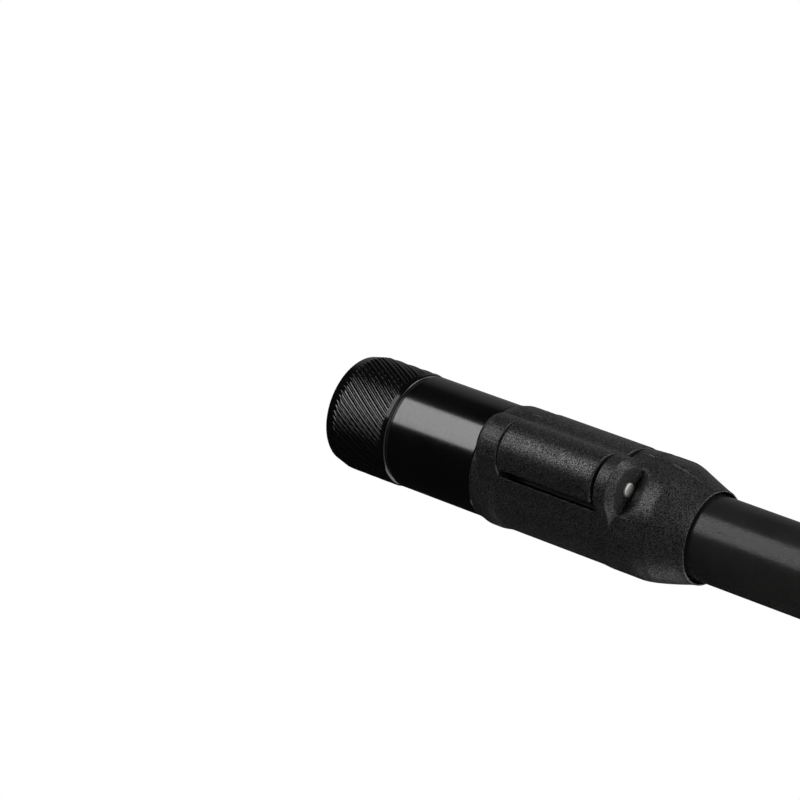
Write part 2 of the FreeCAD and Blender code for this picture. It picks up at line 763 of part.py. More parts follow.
os.makedirs("parts", exist_ok=True)
for item in nodes:
    item.Shape.exportStep(f"parts/{item.Label}.step")
    print(f"{item.Label:20s} solids {len(item.Shape.Solids)}  volume {item.Shape.Volume:9.1f}")
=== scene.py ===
"""Looks of a telescoping camera pole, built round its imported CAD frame.

Shapes are given in millimetres and degrees, and the light, floor and camera in metres.
"""

import math

import bpy
import numpy as np
from mathutils import Matrix, Vector


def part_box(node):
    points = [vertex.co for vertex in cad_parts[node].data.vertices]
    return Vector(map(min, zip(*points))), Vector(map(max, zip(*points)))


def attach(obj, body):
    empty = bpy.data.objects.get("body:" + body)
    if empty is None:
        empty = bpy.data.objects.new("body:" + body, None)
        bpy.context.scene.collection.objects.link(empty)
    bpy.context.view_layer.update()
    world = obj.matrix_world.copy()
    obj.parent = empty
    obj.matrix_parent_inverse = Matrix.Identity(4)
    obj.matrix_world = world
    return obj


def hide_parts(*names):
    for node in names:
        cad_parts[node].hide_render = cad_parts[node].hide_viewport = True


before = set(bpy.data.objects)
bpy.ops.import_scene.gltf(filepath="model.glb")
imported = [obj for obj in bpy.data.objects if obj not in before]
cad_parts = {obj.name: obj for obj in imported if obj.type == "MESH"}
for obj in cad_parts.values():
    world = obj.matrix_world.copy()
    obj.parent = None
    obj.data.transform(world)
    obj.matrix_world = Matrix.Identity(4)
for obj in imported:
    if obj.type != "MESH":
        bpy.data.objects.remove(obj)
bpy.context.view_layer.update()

MM = 0.001
TINY = 1e-9
ALMOST_AXIS = 0.01  # radius at which a turned piece's end is closed


# ---------------------------------------------------------------- meshes

def mesh_object(name, points, faces):
    """A smooth-shaded piece, from points in millimetres."""
    mesh = bpy.data.meshes.new(name)
    mesh.from_pydata((np.asarray(points) * MM).tolist(), [], [list(map(int, f)) for f in faces])
    mesh.validate()
    mesh.polygons.foreach_set("use_smooth", [True] * len(mesh.polygons))
    mesh.update()
    piece = bpy.data.objects.new(name, mesh)
    bpy.context.scene.collection.objects.link(piece)
    return piece


def directions(columns):
    return np.arange(columns) * 2 * math.pi / columns


def all_round(values, columns):
    """A grid with a row for each value, which is the same in every direction."""
    return np.repeat(np.array(values)[:, None], columns, 1)


def wrap(name, radii, heights):
    """A closed skin round Z, from grids of radii and heights with a column for each direction."""
    rows, columns = radii.shape
    turn = directions(columns)
    points = np.stack([radii * np.cos(turn), radii * np.sin(turn), heights], -1).reshape(-1, 3)
    faces = []
    for row in range(rows):
        here, above = row * columns, (row + 1) % rows * columns
        for column in range(columns):
            beside = (column + 1) % columns
            faces.append((here + column, here + beside, above + beside, above + column))
    return mesh_object(name, points, faces)


def turned(name, section, columns):
    """A piece turned about Z. section is a closed list of (radius, height) corners, anticlockwise."""
    radii, heights = zip(*section)
    return wrap(name, all_round(radii, columns), all_round(heights, columns))


def ease(section, edge, guard=1.2):
    """The section with each corner rounded, and a guard point on each side of it that keeps flats flat."""
    corners = [Vector(corner) for corner in section]
    eased = []
    for before, corner, after in zip(corners[-1:] + corners[:-1], corners, corners[1:] + corners[:1]):
        back, ahead = before - corner, after - corner
        reach = min(edge, back.length * 0.4, ahead.length * 0.4)
        start = corner + back.normalized() * reach
        end = corner + ahead.normalized() * reach
        middle = (start + end) / 4 + corner / 2
        first = corner + back.normalized() * reach * guard
        last = corner + ahead.normalized() * reach * guard
        eased += [tuple(first), tuple(start), tuple(middle), tuple(end), tuple(last)]
    return eased


def surface_net(name, distance, low, high, step):
    """Mesh of the surface where distance(x, y, z) is zero, with a vertex in each crossed grid cell."""
    axes = [np.arange(a - 2.5 * step, b + 3.5 * step, step) for a, b in zip(low, high)]
    grid = np.stack(np.meshgrid(*axes, indexing="ij"), -1)
    inside = distance(grid[..., 0], grid[..., 1], grid[..., 2]) < 0
    count = np.zeros([n - 1 for n in inside.shape], np.int8)
    for corner in np.ndindex(2, 2, 2):
        count += inside[tuple(slice(c, c - 1 or None) for c in corner)]
    crossed = (count > 0) & (count < 8)
    number = np.full(crossed.shape, -1)
    number[crossed] = np.arange(crossed.sum())
    origin = np.array([axis[0] for axis in axes])
    points = origin + (np.argwhere(crossed) + 0.5) * step
    for _ in range(6):
        points = towards_surface(points, distance, step)
    quads = [quads_along(axis, inside, number) for axis in range(3)]
    piece = mesh_object(name, points, np.concatenate(quads))
    normals = slope_at(points, distance, step * 0.2)
    normals /= np.maximum(np.linalg.norm(normals, axis=1, keepdims=True), TINY)
    piece.data.normals_split_custom_set_from_vertices(normals.tolist())
    return piece


def quads_along(axis, inside, number):
    """A quad, facing outwards, round each of the axis's grid edges that the surface crosses."""
    one, two = (axis + 1) % 3, (axis + 2) % 3
    before = [slice(1, -1)] * 3
    before[axis] = slice(0, -1)
    after = list(before)
    after[axis] = slice(1, None)
    start, end = inside[tuple(before)], inside[tuple(after)]
    edges = np.argwhere(start != end)
    outward = start[start != end]
    edges[:, one] += 1
    edges[:, two] += 1
    ring = []
    for step_one, step_two in ((-1, -1), (0, -1), (0, 0), (-1, 0)):
        cell = edges.copy()
        cell[:, one] += step_one
        cell[:, two] += step_two
        ring.append(number[tuple(cell.T)])
    quads = np.stack(ring, 1)
    quads[~outward] = quads[~outward][:, ::-1]
    return quads


def slope_at(points, distance, small):
    return np.stack([
        distance(*(points + shift).T) - distance(*(points - shift).T) for shift in np.eye(3) * small
    ], 1) / (2 * small)


def towards_surface(points, distance, step):
    """Moves each point along the distance's slope to where it is zero, by half a step at the most."""
    here = distance(*points.T)
    slope = slope_at(points, distance, step * 0.05)
    move = -here[:, None] * slope / np.maximum((slope ** 2).sum(1), 0.3)[:, None]
    length = np.linalg.norm(move, axis=1, keepdims=True)
    return points + move * np.minimum(1, step * 0.5 / np.maximum(length, TINY))


# ---------------------------------------------------------------- solid shapes as distances

def joined(one, two, soft=0.0):
    """Union of two shapes, with a concave fillet of about soft between them."""
    if not soft:
        return np.minimum(one, two)
    near = np.maximum(soft - np.abs(one - two), 0) / soft
    return np.minimum(one, two) - near * near * soft / 4


def common(one, two, soft=0.0):
    """Intersection of two shapes, with its new edge rounded."""
    return -joined(-one, -two, soft)


def without(one, two, soft=0.0):
    return common(one, -two, soft)


def between(value, low, high):
    return np.maximum(low - value, value - high)


def sector(x, y, start, end):
    """The wedge between two directions, which are less than half a turn apart."""
    first, last = math.radians(start), math.radians(end)
    before = x * math.sin(first) - y * math.cos(first)
    after = y * math.cos(last) - x * math.sin(last)
    return np.maximum(before, after)


def polar(radius, angle):
    return radius * math.cos(math.radians(angle)), radius * math.sin(math.radians(angle))


def arc_points(centre, radius, start, end, step=2.0):
    """Points along an arc, about a step of degrees apart."""
    steps = max(2, int(abs(end - start) / step))
    angles = np.radians(np.linspace(start, end, steps + 1))
    return [(centre[0] + radius * math.cos(a), centre[1] + radius * math.sin(a)) for a in angles]


def outline_distance(points, step=0.1, margin=3.0):
    """Signed distance to a closed outline in the XY plane, looked up in a table."""
    points = np.array(points)
    low = points.min(0) - margin
    counts = ((points.max(0) + margin - low) / step).astype(int) + 2
    x, y = np.meshgrid(*(low[i] + step * np.arange(counts[i]) for i in (0, 1)), indexing="ij")
    nearest = np.full(x.shape, np.inf)
    inside = np.zeros(x.shape, bool)
    for (ax, ay), (bx, by) in zip(points, np.roll(points, -1, 0)):
        dx, dy = bx - ax, by - ay
        if dx * dx + dy * dy < 1e-12:
            continue
        along = np.clip(((x - ax) * dx + (y - ay) * dy) / (dx * dx + dy * dy), 0, 1)
        nearest = np.minimum(nearest, (x - ax - along * dx) ** 2 + (y - ay - along * dy) ** 2)
        if dy:
            inside ^= ((ay > y) != (by > y)) & (x < dx * (y - ay) / dy + ax)
    table = np.where(inside, -1, 1) * np.sqrt(nearest)

    def distance(x, y):
        place_x = np.clip((x - low[0]) / step, 0, counts[0] - 1.001)
        place_y = np.clip((y - low[1]) / step, 0, counts[1] - 1.001)
        i, j = place_x.astype(int), place_y.astype(int)
        u, v = place_x - i, place_y - j
        lower = table[i, j] * (1 - u) + table[i + 1, j] * u
        upper = table[i, j + 1] * (1 - u) + table[i + 1, j + 1] * u
        return lower * (1 - v) + upper * v

    return distance


# ---------------------------------------------------------------- sizes of the two flip locks

BACK_FILLET, FRONT_FILLET = 20.0, 4.0  # of the blends from the barrel to the pole
POCKET = (-70.0, 87.0)  # directions that the lever's opening in the housing spans
SURROUND = (-44.0, 100.0)  # directions that the raised band round the paddle spans
CAVITY_GAP = 0.25  # round the barrel
UPPER_LEVER_LENGTH, POCKET_GAP = 23.8, 0.8  # the gap under the lever, which scales with its length

# The lever's outline: directions of the paddle's two ends and of the lip behind the barrel, then points that
# are measured from the pin, the last two in barrel radii.
PADDLE_TIP, PADDLE_ROOT, BACK_LIP = 72.0, -62.0, -158.0
WEB, HEEL, HOOK, LIP = (0.9, 1.95), (-1.6, 0.6), (-0.41, -0.19), (-0.82, -0.24)
UNDER_PADDLE = 0.2
HUB_RADIUS, LOBE_RADIUS, LOBE_OFFSET = 2.15, 1.82, 0.45
BEAD_RADIUS, BEAD_LIFT, BEAD_BLEND = 1.3, 0.25, 1.2

# The housing's details. A rise is the gain in radius for each millimetre towards the head, and comes with the
# factor that makes it a distance again.
SKIN_SHIFTS = (-0.6, -0.3, 0, 0.3, 0.6)  # the section's corners are softened by averaging it over these
SWELL, SWELL_LENGTH = 0.3, 5  # of the surround towards its lower end
SURROUND_RISE, SURROUND_FACTOR = 0.36, 0.92
TONGUE_RISE, TONGUE_FACTOR = 0.45, 0.9
TONGUE_FLAT, TONGUE_FALL, TONGUE_DROP = 3.2, 4.0, 0.9  # half width of its flat, and its fall beside it
CHAMFER_FACTOR = 0.7
SCOOP_FACTOR = 0.75
SCOOP_REACH = -3.0  # the highest y that the scoop cuts
PIN_DEPTH, PIN_CAP = 1.0, 1.5  # the pin's hole runs past the knuckle's foot, and stops below its head
SLIDING_GAP, BUSH_GAP, PIN_GAP, LEVER_BORE_GAP = 0.1, 0.02, 0.05, 0.06

# How much each of the housing's edges and creases is rounded.
ROUND = {
    "skin": 0.35, "spigot": 0.3, "surround": 0.5, "surround_foot": 0.3,
    "tongue_crease": 0.2, "tongue": 0.3, "tongue_foot": 0.5,
    "knuckle": 0.2, "knuckle_chamfer": 0.15, "knuckle_head": 0.5, "knuckle_foot": 0.25,
    "pocket": 0.3, "bore": 0.2, "bush_seat": 0.3, "scoop": 0.35, "pin_hole": 0.25,
}


def spans(node):
    """A CAD node's lowest and highest corners, in millimetres."""
    low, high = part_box(node)
    return [v / MM for v in low], [v / MM for v in high]


class Lock:
    """Sizes of one flip lock. Those given as depths, below the rim's top, become heights."""

    def __init__(self, prefix, tube, sliding, knuckles, surround_span, hip, **sizes):
        vars(self).update(sizes)
        self.housing, self.lever, self.pin = (
            prefix + "lock_housing", prefix + "lock_lever", prefix + "lever_pin"
        )
        low, high = spans(self.pin)
        self.pin_offset = -(low[1] + high[1]) / 2
        self.pin_radius = (high[0] - low[0]) / 2
        low, high = spans(self.lever)
        self.lever_span = low[2], high[2]
        self.barrel = -low[1] - self.pin_offset
        self.paddle = high[0]
        self.paddle_under = self.floor + UNDER_PADDLE
        gap = POCKET_GAP * ((high[2] - low[2]) / UPPER_LEVER_LENGTH)
        self.pocket_span = low[2] - gap, high[2] + 0.2
        low, high = spans(self.housing)
        self.mouth, self.spigot_top = low[2], high[2]
        low, high = spans(prefix + "nose_bush")
        self.mouth_radius = high[0] + BUSH_GAP
        self.bush_top = high[2]
        self.sliding = spans(sliding)[1][0]
        self.top = spans(tube)[0][2]
        self.knuckles = [self.top - depth for depth in knuckles]
        self.surround_span = [self.top - depth for depth in surround_span]
        self.hip = self.top - hip


UPPER = Lock(
    "", "upper_tube", "pole_tube",
    section=[  # depth below the rim's top, and radius
        (0.0, 12.42), (1.0, 12.45), (1.9, 12.9), (2.4, 12.95), (5.1, 12.95), (7.1, 12.5), (31.2, 12.5),
        (33.4, 12.75), (41.4, 12.75), (42.9, 12.52), (44.7, 12.14), (46.6, 11.66), (48.8, 11.06),
        (50.6, 10.5), (52.0, 10.12), (52.9, 9.98),
    ],
    waist=12.5, floor=10.9, spigot_radius=10.98,
    knuckles=(37.8, 2.8), chamfer=1.5,
    surround_radius=12.95, surround_span=(43.4, 5.3), hip=44.9,
    scoop_half_width=5.7, scoop_floor=10.4, scoop_length=4.6,
)
LOWER = Lock(
    "lower_", "pole_tube", "leg_tube",
    section=[
        (0.0, 9.2), (0.9, 9.22), (2.2, 10.5), (2.6, 10.6), (4.3, 10.6), (5.9, 10.2), (26.2, 10.2),
        (28.0, 10.45), (33.9, 10.45), (35.8, 10.3), (37.5, 9.95), (39.0, 9.55), (41.0, 8.98),
        (42.6, 8.45), (43.8, 8.02), (44.5, 7.75),
    ],
    waist=10.2, floor=8.7, spigot_radius=7.98,
    knuckles=(31.8, 2.9), chamfer=1.2,
    surround_radius=10.6, surround_span=(36.5, 4.5), hip=37.9,
    scoop_half_width=4.7, scoop_floor=8.5, scoop_length=4.5,
)


# ---------------------------------------------------------------- shapes of the two flip locks

def blend_centre(lock, side, fillet, round_radius):
    """Centre of the concave arc that runs tangent from the barrel to a round about the pole's axis."""
    near, far = lock.barrel + fillet, round_radius + fillet
    reach = (far ** 2 - near ** 2 + lock.pin_offset ** 2) / (2 * lock.pin_offset)
    return side * math.sqrt(far ** 2 - reach ** 2), -reach


def direction(start, end):
    """Direction from one point to another, from 0 to 360."""
    return math.degrees(math.atan2(end[1] - start[1], end[0] - start[0])) % 360


def hinge_outline(lock):
    """Barrel, concave blends and waist, anticlockwise."""
    axis, pin = (0, 0), (0, -lock.pin_offset)
    front = blend_centre(lock, 1, FRONT_FILLET, lock.waist)
    back = blend_centre(lock, -1, BACK_FILLET, lock.waist)
    return [
        *arc_points(pin, lock.barrel, direction(pin, back), direction(pin, front)),
        *arc_points(front, FRONT_FILLET, direction(front, pin), direction(front, axis)),
        *arc_points(axis, lock.waist, direction(axis, front) - 360, direction(axis, back)),
        *arc_points(back, BACK_FILLET, direction(back, axis), direction(back, pin)),
    ]


def lever_outline(lock):
    """Barrel, blend, paddle with a round tip, and the side that faces the pole, anticlockwise."""
    axis, pin = (0, 0), (0, -lock.pin_offset)
    front = blend_centre(lock, 1, FRONT_FILLET, lock.paddle)
    tip = polar((lock.paddle + lock.paddle_under) / 2, PADDLE_TIP)
    half = (lock.paddle - lock.paddle_under) / 2
    return [
        *arc_points(pin, lock.barrel, BACK_LIP + 360, direction(pin, front)),
        *arc_points(front, FRONT_FILLET, direction(front, pin), direction(front, axis)),
        *arc_points(axis, lock.paddle, direction(axis, front) - 360, PADDLE_TIP),
        *arc_points(tip, half, PADDLE_TIP, PADDLE_TIP + 180, 10),
        *arc_points(axis, lock.paddle_under, PADDLE_TIP, PADDLE_ROOT),
        *((across, up - lock.pin_offset) for across, up in (WEB, HEEL)),
        *((across * lock.barrel, up * lock.barrel - lock.pin_offset) for across, up in (HOOK, LIP)),
    ]


def lock_skin(lock, around, z):
    """The turned body, whose radius follows the section."""
    depths, radii = np.array(lock.section).T
    radius = sum(np.interp(lock.top - z + shift, depths, radii) for shift in SKIN_SHIFTS) / len(SKIN_SHIFTS)
    return common(around - radius, between(z, lock.mouth, lock.top), ROUND["skin"])


def lock_surround(lock, x, y, z, around):
    """The raised band round the paddle, which swells and then slopes away at its lower end."""
    swollen = lock.surround_radius + SWELL * np.clip((lock.pocket_span[0] - z) / SWELL_LENGTH, 0, 1)
    slope = (around - swollen - (z - lock.surround_span[0]) * SURROUND_RISE) * SURROUND_FACTOR
    raised = common(around - swollen, sector(x, y, *SURROUND), ROUND["surround"])
    raised = common(raised, slope, ROUND["surround"])
    return common(raised, between(z, lock.mouth, lock.surround_span[1]), ROUND["surround"])


def lock_tongue(lock, x, y, z, around):
    """The raised tongue under the pin's end, creased where it starts to taper."""
    fall = np.clip((np.abs(x) - TONGUE_FLAT) / TONGUE_FALL, 0, 1) ** 2
    radius = lock.surround_radius - TONGUE_DROP * fall
    crease = (around - radius - (z - lock.hip) * TONGUE_RISE) * TONGUE_FACTOR
    tongue = common(around - radius, crease, ROUND["tongue_crease"])
    tongue = common(tongue, between(z, lock.mouth, lock.knuckles[1]), ROUND["tongue"])
    return np.maximum(tongue, y)


def lock_knuckle(lock, block, z):
    """The hinge's block, chamfered at its foot and rounded at its head."""
    foot, head = lock.knuckles
    chamfered = (block + lock.chamfer - (z - foot)) * CHAMFER_FACTOR
    rounded = (block + lock.chamfer / 2 - (head - z)) * CHAMFER_FACTOR
    knuckle = common(block, between(z, foot, head), ROUND["knuckle"])
    knuckle = common(knuckle, chamfered, ROUND["knuckle_chamfer"])
    return common(knuckle, rounded, ROUND["knuckle_head"])


def lock_openings(lock, x, y, z, around, from_pin):
    """What is cut from the housing, each with its edge's rounding."""
    foot, head = lock.knuckles
    cavity = common(from_pin - lock.barrel - CAVITY_GAP, between(z, *lock.pocket_span))
    pocket = common(np.maximum(lock.floor - around, sector(x, y, *POCKET)), between(z, *lock.pocket_span))
    yield joined(cavity, pocket), ROUND["pocket"]
    yield around - lock.sliding - SLIDING_GAP, ROUND["bore"]
    yield np.maximum(around - lock.mouth_radius, z - lock.bush_top - BUSH_GAP), ROUND["bush_seat"]
    down = np.clip((foot - z) / lock.scoop_length, 0, 1)
    aside = np.clip(1 - (x / lock.scoop_half_width) ** 2, 0, 1)
    hollow = (lock.surround_radius - lock.scoop_floor) * (1 - down) ** 2 * aside
    ramp = (lock.surround_radius - hollow - around) * SCOOP_FACTOR
    yield np.maximum(np.maximum(ramp, z - foot), y - SCOOP_REACH), ROUND["scoop"]
    hole_span = foot - PIN_DEPTH, head - PIN_CAP
    yield np.maximum(from_pin - lock.pin_radius - PIN_GAP, between(z, *hole_span)), ROUND["pin_hole"]


def housing_distance(lock):
    hinge = outline_distance(hinge_outline(lock))

    def distance(x, y, z):
        around = np.hypot(x, y)
        from_pin = np.hypot(x, y + lock.pin_offset)
        solid = lock_skin(lock, around, z)
        solid = joined(solid, lock_surround(lock, x, y, z, around), ROUND["surround_foot"])
        solid = joined(solid, lock_tongue(lock, x, y, z, around), ROUND["tongue_foot"])
        solid = joined(solid, lock_knuckle(lock, hinge(x, y), z), ROUND["knuckle_foot"])
        spigot_span = lock.top - 1, lock.spigot_top
        spigot = common(around - lock.spigot_radius, between(z, *spigot_span), ROUND["spigot"])
        solid = joined(solid, spigot)
        for opening, rounding in lock_openings(lock, x, y, z, around, from_pin):
            solid = without(solid, opening, rounding)
        return solid

    return distance


def lever_distance(lock):
    outline = outline_distance(lever_outline(lock))
    bead_x, bead_y = polar((lock.paddle + lock.paddle_under) / 2 + BEAD_LIFT, PADDLE_TIP)

    def distance(x, y, z):
        from_pin = np.hypot(x, y + lock.pin_offset)
        flat = joined(outline(x, y), from_pin - HUB_RADIUS, 0.2)
        flat = joined(flat, np.hypot(x, y + lock.pin_offset - LOBE_OFFSET) - LOBE_RADIUS)
        flat = joined(flat, np.hypot(x - bead_x, y - bead_y) - BEAD_RADIUS, BEAD_BLEND)
        solid = common(flat, between(z, *lock.lever_span), 0.5)
        return without(solid, from_pin - lock.pin_radius - LEVER_BORE_GAP, 0.2)

    return distance


def moulded(name, node, distance, step, body, slot, material):
    """A moulded piece that stands for a CAD node."""
    low, high = spans(node)
    piece = surface_net(name, distance, low, high, step)
    return dress(piece, body, slot, material, node)


def dress(piece, body, slot, material, *nodes):
    """Gives a new piece its material and its body, and hides the CAD nodes that it stands for."""
    piece.data.materials.append(material)
    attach(piece, body)
    if nodes:
        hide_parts(*nodes)
    return piece


# ---------------------------------------------------------------- materials

class Nodes:
    """A new material's node tree, with short calls to add to it."""

    def __init__(self, name):
        self.material = bpy.data.materials.new(name)
        self.material.use_nodes = True
        self.tree = self.material.node_tree
        self.shader = self.tree.nodes["Principled BSDF"]
        self.place = self.add("ShaderNodeTexCoord").outputs["Object"]

    def add(self, kind, **settings):
        node = self.tree.nodes.new(kind)
        for key, value in settings.items():
            if key in node.inputs:
                self.feed(node.inputs[key], value)
            else:
                setattr(node, key, value)
        return node

    def feed(self, socket, value):
        if isinstance(value, bpy.types.NodeSocket):
            self.tree.links.new(value, socket)
        else:
            socket.default_value = value

    def set(self, **values):
        for key, value in values.items():
            self.feed(self.shader.inputs[key.replace("_", " ")], value)

    def noise(self, size_mm, detail=3.0, vector=None, rough=0.6):
        """Noise whose features are about size_mm across, as a value round one half."""
        scale = 1 / (size_mm * MM)
        noise = self.add("ShaderNodeTexNoise", Vector=vector or self.place, Scale=scale, Detail=detail)
        noise.inputs["Roughness"].default_value = rough
        return noise.outputs["Fac"]

    def spread(self, value, low, high, start=0.3, end=0.7):
        """value from start to end, made into low to high."""
        node = self.add("ShaderNodeMapRange", Value=value)
        for key, number in (("From Min", start), ("From Max", end), ("To Min", low), ("To Max", high)):
            node.inputs[key].default_value = number
        return node.outputs["Result"]

    def sum(self, one, two, kind="ADD"):
        node = self.add("ShaderNodeMath", operation=kind)
        self.feed(node.inputs[0], one)
        self.feed(node.inputs[1], two)
        return node.outputs[0]

    def times(self, one, two):
        return self.sum(one, two, "MULTIPLY")

    def colour(self, value, dark, light):
        node = self.add("ShaderNodeMix", data_type="RGBA", clamp_factor=True)
        self.feed(node.inputs["Factor"], value)
        node.inputs["A"].default_value = (*dark, 1)
        node.inputs["B"].default_value = (*light, 1)
        return next(o for o in node.outputs if o.type == "RGBA")

    def bump(self, height, depth_mm):
        node = self.add("ShaderNodeBump", Height=height, Strength=1.0, Distance=depth_mm * MM)
        self.set(Normal=node.outputs["Normal"])

    def stretched(self, x, y, z):
        """The place with each axis scaled."""
        return self.add("ShaderNodeMapping", Vector=self.place, Scale=(x, y, z)).outputs["Vector"]

    def edges(self, start=0.52, end=0.58):
        """Near 1 on convex edges, where a finish wears."""
        return self.spread(self.add("ShaderNodeNewGeometry").outputs["Pointiness"], 0.0, 1.0, start, end)


def anodised(name, tone, shine, rough, grain_mm, depth, scratches=0.0, speckle=0.25):
    """Dyed aluminium. speckle varies the shine in fine spots, and scratches are rings round the piece."""
    n = Nodes(name)
    fine = n.noise(grain_mm, 2.0)
    broad = n.noise(14.0, 4.0)
    rings = n.noise(1.0, 4.0, n.stretched(0.02, 0.02, 3.0), 0.7)
    dark = (tone, tone, tone * 1.08)
    light = (tone * 1.7, tone * 1.66, tone * 1.6)
    spots = n.spread(n.noise(0.17, 1.0), shine * (1 - speckle), shine * (1 + speckle), 0.38, 0.62)
    n.set(
        Base_Color=n.colour(n.spread(broad, 0.0, 1.0), dark, light),
        Roughness=n.sum(n.spread(fine, rough * 0.85, rough * 1.15), n.spread(broad, -0.02, 0.03)),
        Metallic=0.0,
        IOR=1.55,
        Specular_IOR_Level=spots,
    )
    n.bump(n.sum(fine, n.times(rings, scratches)), depth)
    return n.material


def moulded_plastic(name, grain_mm, depth, rough):
    """Black plastic with a fine spark-eroded grain, whose pits are duller than its peaks, and whose peaks are
    painted lighter in colour as glints, standing for the sparkle of light on them.
    """
    n = Nodes(name)
    grain = n.noise(grain_mm, 1.0)
    coarse = n.noise(grain_mm * 2.6, 2.0)
    broad = n.noise(9.0, 3.0)
    worn = n.edges()
    painted_glint_peaks = n.spread(grain, 0.0, 1.0, 0.42, 0.6)
    # Painted glints: the base colour is lighter on the grain's peaks, in place of the sparkle of light on
    # them. The lift on convex edges is wear, and the broad lift varies at random.
    tone = n.sum(n.sum(n.spread(broad, 0.0, 0.12), n.times(worn, 0.2)), n.times(painted_glint_peaks, 0.85))
    n.set(
        Base_Color=n.colour(tone, (0.002, 0.002, 0.003), (0.058, 0.0575, 0.058)),
        Roughness=n.sum(n.spread(coarse, rough - 0.05, rough + 0.07), n.times(worn, -0.08)),
        IOR=1.5,
        Specular_IOR_Level=n.spread(painted_glint_peaks, 0.08, 0.66, 0.0, 1.0),
    )
    n.bump(n.sum(grain, n.times(coarse, 0.8)), depth)
    return n.material


def bare_metal(name, colour, rough, line_scale=(1.0, 1.0, 1.0)):
    """Machined metal with fine lines and faint stains."""
    n = Nodes(name)
    lines = n.noise(0.12, 3.0, n.stretched(*line_scale))
    stain = n.noise(3.0, 4.0)
    light = tuple(min(1.0, c * 1.15) for c in colour)
    n.set(
        Base_Color=n.colour(n.spread(stain, 0.0, 1.0), colour, light),
        Metallic=1.0,
        Roughness=n.sum(n.spread(lines, rough * 0.8, rough * 1.2), n.spread(stain, -0.03, 0.05)),
    )
    n.bump(lines, 0.006)
    return n.material


def soft_rubber(name):
    """Dull rubber, with dust in patches and on its edges."""
    n = Nodes(name)
    fine = n.noise(0.25, 4.0)
    broad = n.noise(6.0, 5.0)
    dust = n.sum(n.spread(broad, 0.0, 1.0, 0.45, 0.75), n.edges(0.51, 0.6))
    n.set(
        Base_Color=n.colour(dust, (0.011, 0.011, 0.011), (0.028, 0.0275, 0.026)),
        Roughness=n.spread(fine, 0.62, 0.8),
    )
    n.bump(n.sum(fine, n.times(broad, 2.0)), 0.04)
    return n.material


def smooth_plastic(name, colour):
    """Slick plastic with faint flow marks along the pole."""
    n = Nodes(name)
    flow = n.noise(2.5, 3.0, n.stretched(1.0, 1.0, 0.25))
    n.set(
        Base_Color=n.colour(n.spread(flow, 0.0, 1.0), colour, tuple(1.4 * c for c in colour)),
        Roughness=n.spread(flow, 0.38, 0.5),
    )
    n.bump(flow, 0.02)
    return n.material


GLOSS = anodised("gloss_black_anodising", 0.003, shine=0.6, rough=0.16, grain_mm=0.3, depth=0.0022)
SATIN = anodised(
    "satin_black_anodising", 0.015, shine=0.19, rough=0.23, grain_mm=0.24, depth=0.008,
    scratches=0.5, speckle=0.6,
)
KNURLED = anodised("knurled_black_anodising", 0.003, shine=0.6, rough=0.13, grain_mm=0.2, depth=0.002)
HOUSING = moulded_plastic("grained_black_plastic", grain_mm=0.21, depth=0.06, rough=0.33)
LEVER = moulded_plastic("satin_black_plastic", grain_mm=0.2, depth=0.05, rough=0.27)
STEEL = bare_metal("bright_steel", (0.68, 0.67, 0.65), rough=0.55)
PLUG = bare_metal("turned_aluminium", (0.32, 0.32, 0.33), rough=0.42, line_scale=(1.0, 1.0, 8.0))
BLACK_STEEL = bare_metal("blackened_steel", (0.05, 0.05, 0.052), rough=0.38)
RUBBER = soft_rubber("black_rubber")
BUSH = smooth_plastic("dark_acetal", (0.02, 0.02, 0.021))


# ---------------------------------------------------------------- turned pieces

RIDGE_PAIRS, RIDGE_SLANT, RIDGE_SAMPLES = 34, 31.8, 32
RIDGES = ((0.0, 0.66, 0.0), (0.5, 0.52, 0.1))  # place in the pair, radius and depth under the ring's face
RING_RIM = 1.15  # height of the plain rim
RING_WALL = 2.84  # from the plug's collar in to the ring's bore
PAD_RADIUS, PAD_DEPTH = 10.46, 1.2  # the rubber pad's seat in the ring

THREAD_PITCH, THREAD_RADIUS, THREAD_ROOT, THREAD_START = 1.27, 3.175, 2.6, -0.4
THREAD_CREST, THREAD_FLANK = 0.12, 0.76  # parts of half a pitch
THREAD_ROWS = 16  # for each pitch
STUD_SHANK, STUD_SHANK_TOP, STUD_CHAMFER, STUD_POINT = 4.5, -3.0, 0.2, 0.6

HOLE_RADIUS = 1.62
SCREWS_APART = 40  # degrees, less than the turn between any two screws
ROUND_FACE = 0.95  # how nearly a tube's round face points away from the axis


